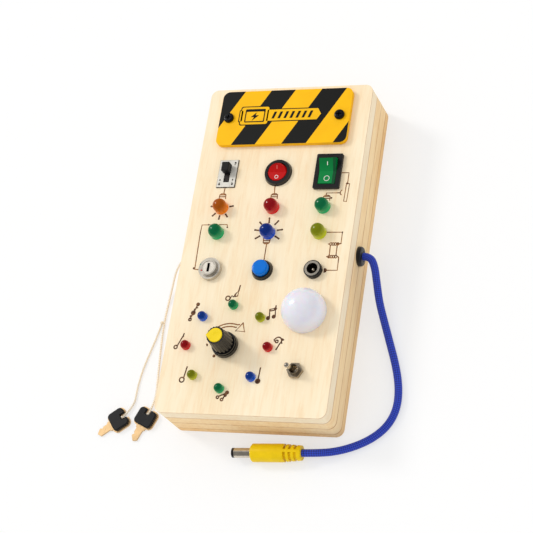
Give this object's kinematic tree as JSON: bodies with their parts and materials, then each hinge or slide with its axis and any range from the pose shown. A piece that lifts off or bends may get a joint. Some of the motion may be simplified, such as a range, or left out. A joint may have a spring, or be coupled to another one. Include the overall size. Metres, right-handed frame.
{
  "type": "wooden busy board",
  "caption": "Flat wooden case with switches, lamps, a key lock, a socket and a turning knob on its face, a plug on a lead and keys on string.",
  "frame": {"origin": "centre of the flat rear face, on which the board lies", "axes": "+X to the right, +Y up the board towards the striped plate, +Z out of the front face"},
  "size_m": [0.1784, 0.2175, 0.0501],
  "materials": {
    "panel_wood": "bare sanded birch face with brown laser lines",
    "layer_wood": "bare sanded wood, glued layers",
    "back_wood": "bare sanded wood",
    "hazard_plastic": "glossy yellow with black stripes",
    "black_screw": "black glossy screw",
    "zinc_steel": "zinc plated",
    "white_metal": "pale plated sheet",
    "nickel": "bright nickel",
    "black_plastic": "moulded black plastic",
    "glossy_black": "glossy black plastic",
    "red_clear": "see-through red plastic",
    "green_clear": "see-through green plastic",
    "lens_amber": "tinted lens",
    "lens_red": "tinted lens",
    "lens_green": "tinted lens",
    "lens_blue": "tinted lens",
    "lens_lime": "tinted lens",
    "blue_plastic": "moulded blue plastic",
    "yellow_plastic": "moulded yellow plastic",
    "white_plastic": "milky white plastic",
    "circuit_board": "green circuit board",
    "cell_label": "plain cell jacket",
    "brass": "brushed brass",
    "black_rubber": "black rubber",
    "cable_braid": "blue braided sleeve",
    "string_yarn": "thin cream string"
  },
  "bodies": {
    "root": {"front_board": "panel_wood", "front_frame_layer": "layer_wood", "rear_frame_layer": "layer_wood", "back_panel": "back_wood", "rear_screws": "zinc_steel", "battery_box": "black_plastic", "battery_cells": "cell_label", "battery_contacts": "nickel", "battery_door": "black_plastic", "hazard_plate": "hazard_plastic", "hazard_plate_screws": "black_screw", "slide_switch_frame": "white_metal", "slide_switch_body": "black_plastic", "round_rocker_housing": "black_plastic", "square_rocker_housing": "black_plastic", "amber_lamp": "lens_amber", "red_lamp": "lens_red", "upper_green_lamp": "lens_green", "lower_green_lamp": "lens_green", "blue_lamp": "lens_blue", "lime_lamp": "lens_lime", "ring_lamps_green": "lens_green", "ring_lamps_lime": "lens_lime", "ring_lamps_red": "lens_red", "ring_lamps_blue": "lens_blue", "light_boards": "circuit_board", "lock_body": "nickel", "lock_nut": "zinc_steel", "push_button_body": "black_plastic", "push_button_spring": "zinc_steel", "push_button_nut": "zinc_steel", "jack_housing": "black_plastic", "jack_contacts": "nickel", "jack_nut": "zinc_steel", "dome_lamp_cover": "white_plastic", "dome_lamp_base": "black_plastic", "dome_lamp_bulb": "white_plastic", "toggle_body": "nickel", "toggle_nut": "nickel", "rotary_switch_body": "black_plastic", "rotary_switch_nut": "zinc_steel", "cable_grommet": "black_rubber", "cable": "cable_braid", "plug_body": "yellow_plastic", "plug_barrel": "nickel", "plug_tip_ring": "glossy_black", "key_string_long": "string_yarn", "key_string_short": "string_yarn", "key_blades": "brass", "key_heads": "black_plastic"},
    "slide_handle": {"slide_switch_handle": "black_plastic"},
    "round_rocker": {"round_rocker_button": "red_clear"},
    "square_rocker": {"square_rocker_button": "green_clear"},
    "lock_core": {"lock_plug": "nickel", "lock_cam": "zinc_steel"},
    "button_cap": {"push_button_cap": "blue_plastic"},
    "toggle": {"toggle_lever": "nickel"},
    "knob": {"rotary_switch_shaft": "nickel", "knob_body": "glossy_black", "knob_cap": "yellow_plastic"}
  },
  "joints": [
    {"name": "slide_switch", "type": "slide", "parent": "root", "child": "slide_handle", "axis": [0, 1, 0], "range_m": [-0.005, 0]},
    {"name": "round_rocker_tilt", "type": "hinge", "parent": "root", "child": "round_rocker", "pos_m": [0.0006, 0.0446, 0.0326], "axis": [1, 0, 0], "range_deg": [-26, 0]},
    {"name": "square_rocker_tilt", "type": "hinge", "parent": "root", "child": "square_rocker", "pos_m": [0.031, 0.0446, 0.0326], "axis": [1, 0, 0], "range_deg": [-26, 0]},
    {"name": "lock_turn", "type": "hinge", "parent": "root", "child": "lock_core", "pos_m": [-0.0306, -0.0154, 0.032], "axis": [0, 0, 1], "range_deg": [-90, 0]},
    {"name": "button_press", "type": "slide", "parent": "root", "child": "button_cap", "axis": [0, 0, 1], "range_m": [-0.003, 0], "stiffness_N_per_m": 300, "springref_m": 0.001, "deforming": ["push_button_spring"]},
    {"name": "toggle_tilt", "type": "hinge", "parent": "root", "child": "toggle", "pos_m": [0.0293, -0.074, 0.0326], "axis": [0, 1, 0], "range_deg": [0, 24]},
    {"name": "knob_turn", "type": "hinge", "parent": "root", "child": "knob", "pos_m": [-0.0129, -0.061, 0.032], "axis": [0, 0, 1], "range_deg": [-270, 45]}
  ]
}
